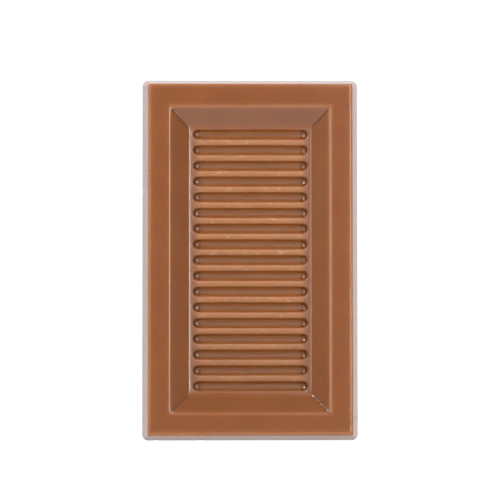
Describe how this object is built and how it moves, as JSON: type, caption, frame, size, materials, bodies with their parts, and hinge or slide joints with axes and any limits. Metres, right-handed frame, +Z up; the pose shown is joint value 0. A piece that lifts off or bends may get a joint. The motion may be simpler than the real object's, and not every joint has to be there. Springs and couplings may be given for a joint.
{
  "type": "chocolate bar",
  "caption": "Moulded milk chocolate bar lying face up: a flat raised border slopes down on all sides to a sunken field of parallel round-ended grooves; leaning outer walls, flat back.",
  "frame": {"origin": "centre of the flat back, on the surface that the bar lies on", "axes": "+Y along the bar's length, +X across it and along the grooves, +Z up through its thickness, out of the moulded face"},
  "size_m": [0.0658, 0.11, 0.009],
  "materials": {
    "milk_chocolate": "smooth tempered milk chocolate with a soft gloss, as it comes from a polished mould"
  },
  "bodies": {
    "root": {"chocolate_bar": "milk_chocolate"}
  },
  "joints": []
}
